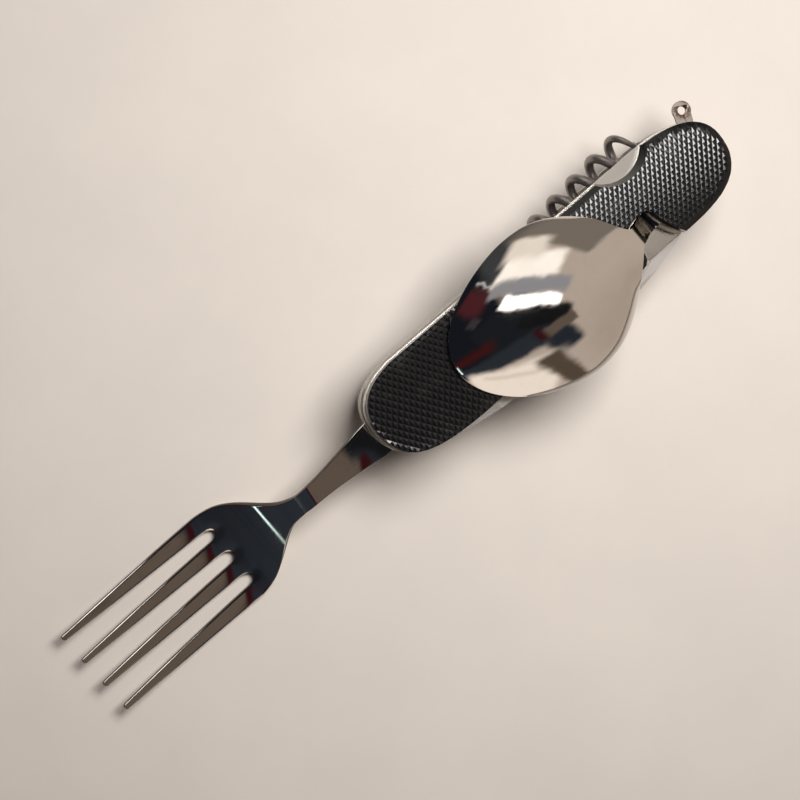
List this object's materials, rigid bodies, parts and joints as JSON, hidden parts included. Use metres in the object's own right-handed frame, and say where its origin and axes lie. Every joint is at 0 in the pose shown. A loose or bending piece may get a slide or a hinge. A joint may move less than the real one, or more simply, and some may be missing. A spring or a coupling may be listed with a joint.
{
  "type": "folding picnic cutlery",
  "caption": "Folding picnic cutlery: spoon, fork, knife, opener and corkscrew hinged in one riveted handle with knurled black scales.",
  "frame": {"origin": "centre of the flat back face of the handle's back scale", "axes": "+X along the handle from the fork's end to the lanyard's end, +Y towards the corkscrew's edge, +Z through the handle from its back to its front"},
  "size_m": [0.1918, 0.038, 0.0325],
  "materials": {
    "scale_plastic": "glossy black moulded plastic with a diamond-knurled face",
    "cutlery_steel": "mirror-polished stainless steel",
    "blade_steel": "polished stainless steel with a fine ground edge",
    "liner_steel": "polished steel sheet with satin edges",
    "spring_steel": "ground spring steel",
    "rivet_steel": "turned steel",
    "worm_steel": "dark polished steel wire"
  },
  "bodies": {
    "handle": {"back_scale": "scale_plastic", "back_liner": "liner_steel", "fork_spring": "spring_steel", "lower_divider": "liner_steel", "knife_spring": "spring_steel", "knife_layer_spacer": "liner_steel", "upper_divider": "liner_steel", "spoon_spring": "spring_steel", "spoon_layer_spacer": "liner_steel", "front_liner": "liner_steel", "front_scale": "scale_plastic", "fork_end_rivet": "rivet_steel", "lanyard_end_rivet": "rivet_steel", "spring_rivet": "rivet_steel", "front_scale_pin_1": "rivet_steel", "front_scale_pin_2": "rivet_steel", "back_scale_pin_1": "rivet_steel", "back_scale_pin_2": "rivet_steel", "corkscrew_pin": "rivet_steel"},
    "spoon": {"spoon": "cutlery_steel"},
    "fork": {"fork": "cutlery_steel"},
    "knife": {"knife": "blade_steel"},
    "opener": {"opener": "blade_steel"},
    "corkscrew": {"corkscrew": "worm_steel"}
  },
  "joints": [
    {"name": "spoon_pivot", "type": "hinge", "parent": "handle", "child": "spoon", "pos_m": [0.048, -0.0007, 0.0121], "axis": [0, 0, 1], "range_deg": [0, 180]},
    {"name": "fork_pivot", "type": "hinge", "parent": "handle", "child": "fork", "pos_m": [-0.048, -0.0007, 0.0061], "axis": [0, 0, 1], "range_deg": [0, 180]},
    {"name": "knife_pivot", "type": "hinge", "parent": "handle", "child": "knife", "pos_m": [-0.048, -0.0007, 0.0091], "axis": [0, 0, 1], "range_deg": [-180, 0]},
    {"name": "opener_pivot", "type": "hinge", "parent": "handle", "child": "opener", "pos_m": [0.048, -0.0007, 0.0061], "axis": [0, 0, 1], "range_deg": [0, 180]},
    {"name": "corkscrew_pivot", "type": "hinge", "parent": "handle", "child": "corkscrew", "pos_m": [-0.009, 0.008, 0.0091], "axis": [0, 0, 1], "range_deg": [0, 85.6]}
  ]
}
